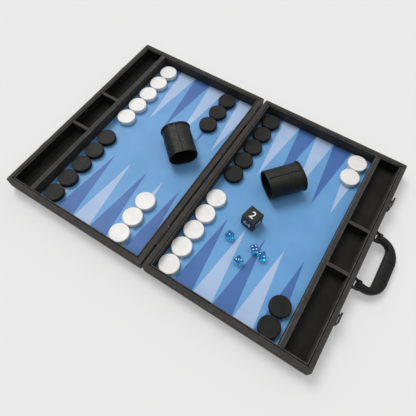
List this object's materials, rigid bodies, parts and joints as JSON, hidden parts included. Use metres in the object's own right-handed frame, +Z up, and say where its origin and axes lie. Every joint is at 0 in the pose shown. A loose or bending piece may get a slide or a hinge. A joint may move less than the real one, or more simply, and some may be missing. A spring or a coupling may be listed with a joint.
{
  "type": "backgammon set",
  "caption": "Folding attache-style backgammon set opened flat, with men, dice cups, dice and doubling cube set out on a blue field.",
  "frame": {"origin": "centre of the footprint, on the table the opened set lies on", "axes": "+X across the two halves towards the carrying handle, +Y along the hinge line away from the near long wall, +Z up"},
  "size_m": [0.7499, 0.483, 0.0602],
  "materials": {
    "leatherette": "fine grain, satin",
    "field_blue": "smooth, low sheen",
    "points_dark": "smooth, low sheen",
    "points_pale": "smooth, low sheen",
    "tray_lining": "matt",
    "feet_rubber": "matt",
    "black_metal": "satin",
    "bright_steel": "polished",
    "latch_metal": "gunmetal, satin",
    "grip_leather": "fine grain, satin",
    "cup_leather": "fine grain, satin",
    "cup_lining": "matt",
    "men_white": "semi-gloss",
    "men_black": "semi-gloss",
    "dice_clear": "clear, polished",
    "cube_black": "semi-gloss"
  },
  "bodies": {
    "right_half": {"frame_right": "leatherette", "bottom_right": "leatherette", "board_right": "field_blue", "points_dark_right": "points_dark", "points_pale_right": "points_pale", "divider_right": "leatherette", "partitions_right": "leatherette", "tray_floor_right": "tray_lining", "feet_right": "feet_rubber", "hinge_leaves_right": "black_metal", "hinge_pins": "bright_steel", "latch_bases": "latch_metal", "latch_pins": "bright_steel", "handle_brackets": "black_metal", "handle_pins": "bright_steel"},
    "left_half": {"frame_left": "leatherette", "bottom_left": "leatherette", "board_left": "field_blue", "points_dark_left": "points_dark", "points_pale_left": "points_pale", "divider_left": "leatherette", "partitions_left": "leatherette", "tray_floor_left": "tray_lining", "feet_left": "feet_rubber", "hinge_leaves_left": "black_metal", "latch_keepers": "latch_metal"},
    "lever_near": {"latch_lever_near": "latch_metal"},
    "lever_far": {"latch_lever_far": "latch_metal"},
    "claw_near": {"latch_claw_near": "latch_metal"},
    "claw_far": {"latch_claw_far": "latch_metal"},
    "handle": {"handle_grip": "grip_leather"},
    "cup_left": {"cup_left_body": "cup_leather", "cup_left_liner": "cup_lining", "cup_left_base": "cup_leather"},
    "cup_right": {"cup_right_body": "cup_leather", "cup_right_liner": "cup_lining", "cup_right_base": "cup_leather"},
    "men_white_left_far": {"men_white_left_far": "men_white"},
    "men_black_left_near": {"men_black_left_near": "men_black"},
    "men_white_left_near": {"men_white_left_near": "men_white"},
    "men_black_left_far": {"men_black_left_far": "men_black"},
    "men_black_right_far": {"men_black_right_far": "men_black"},
    "men_white_right_near": {"men_white_right_near": "men_white"},
    "men_white_right_far": {"men_white_right_far": "men_white"},
    "men_black_right_near": {"men_black_right_near": "men_black"},
    "die_one": {"die_one": "dice_clear"},
    "die_two": {"die_two": "dice_clear"},
    "die_three": {"die_three": "dice_clear"},
    "die_four": {"die_four": "dice_clear"},
    "doubling_cube": {"doubling_cube": "cube_black"}
  },
  "joints": [
    {"name": "lid_fold", "type": "hinge", "parent": "right_half", "child": "left_half", "pos_m": [-0.028, 0, 0.034], "axis": [0, -1, 0], "range_deg": [-150, 0]},
    {"name": "lever_near_swing", "type": "hinge", "parent": "right_half", "child": "lever_near", "pos_m": [0.3175, -0.134, 0.025], "axis": [0, -1, 0], "range_deg": [0, 100]},
    {"name": "claw_near_tilt", "type": "hinge", "parent": "lever_near", "child": "claw_near", "pos_m": [0.3175, -0.134, 0.017], "axis": [0, 1, 0], "range_deg": [0, 100]},
    {"name": "lever_far_swing", "type": "hinge", "parent": "right_half", "child": "lever_far", "pos_m": [0.3175, 0.134, 0.025], "axis": [0, -1, 0], "range_deg": [0, 100]},
    {"name": "claw_far_tilt", "type": "hinge", "parent": "lever_far", "child": "claw_far", "pos_m": [0.3175, 0.134, 0.017], "axis": [0, 1, 0], "range_deg": [0, 100]},
    {"name": "handle_swing", "type": "hinge", "parent": "right_half", "child": "handle", "pos_m": [0.326, 0, 0.022], "axis": [0, -1, 0], "range_deg": [0, 105]},
    {"name": "cup_left_lift", "type": "slide", "parent": "left_half", "child": "cup_left", "axis": [0, 0, 1], "range_m": [0, 0.06]},
    {"name": "cup_right_lift", "type": "slide", "parent": "right_half", "child": "cup_right", "axis": [0, 0, 1], "range_m": [0, 0.06]},
    {"name": "men_white_left_far_lift", "type": "slide", "parent": "left_half", "child": "men_white_left_far", "axis": [0, 0, 1], "range_m": [0, 0.06]},
    {"name": "men_black_left_near_lift", "type": "slide", "parent": "left_half", "child": "men_black_left_near", "axis": [0, 0, 1], "range_m": [0, 0.06]},
    {"name": "men_white_left_near_lift", "type": "slide", "parent": "left_half", "child": "men_white_left_near", "axis": [0, 0, 1], "range_m": [0, 0.06]},
    {"name": "men_black_left_far_lift", "type": "slide", "parent": "left_half", "child": "men_black_left_far", "axis": [0, 0, 1], "range_m": [0, 0.06]},
    {"name": "men_black_right_far_lift", "type": "slide", "parent": "right_half", "child": "men_black_right_far", "axis": [0, 0, 1], "range_m": [0, 0.06]},
    {"name": "men_white_right_near_lift", "type": "slide", "parent": "right_half", "child": "men_white_right_near", "axis": [0, 0, 1], "range_m": [0, 0.06]},
    {"name": "men_white_right_far_lift", "type": "slide", "parent": "right_half", "child": "men_white_right_far", "axis": [0, 0, 1], "range_m": [0, 0.06]},
    {"name": "men_black_right_near_lift", "type": "slide", "parent": "right_half", "child": "men_black_right_near", "axis": [0, 0, 1], "range_m": [0, 0.06]},
    {"name": "die_one_lift", "type": "slide", "parent": "right_half", "child": "die_one", "axis": [0, 0, 1], "range_m": [0, 0.06]},
    {"name": "die_two_lift", "type": "slide", "parent": "right_half", "child": "die_two", "axis": [0, 0, 1], "range_m": [0, 0.06]},
    {"name": "die_three_lift", "type": "slide", "parent": "right_half", "child": "die_three", "axis": [0, 0, 1], "range_m": [0, 0.06]},
    {"name": "die_four_lift", "type": "slide", "parent": "right_half", "child": "die_four", "axis": [0, 0, 1], "range_m": [0, 0.06]},
    {"name": "doubling_cube_lift", "type": "slide", "parent": "right_half", "child": "doubling_cube", "axis": [0, 0, 1], "range_m": [0, 0.06]}
  ],
  "couplings": [
    {"joint": "claw_near_tilt", "follows": "lever_near_swing", "ratio": 1},
    {"joint": "claw_far_tilt", "follows": "lever_far_swing", "ratio": 1}
  ]
}
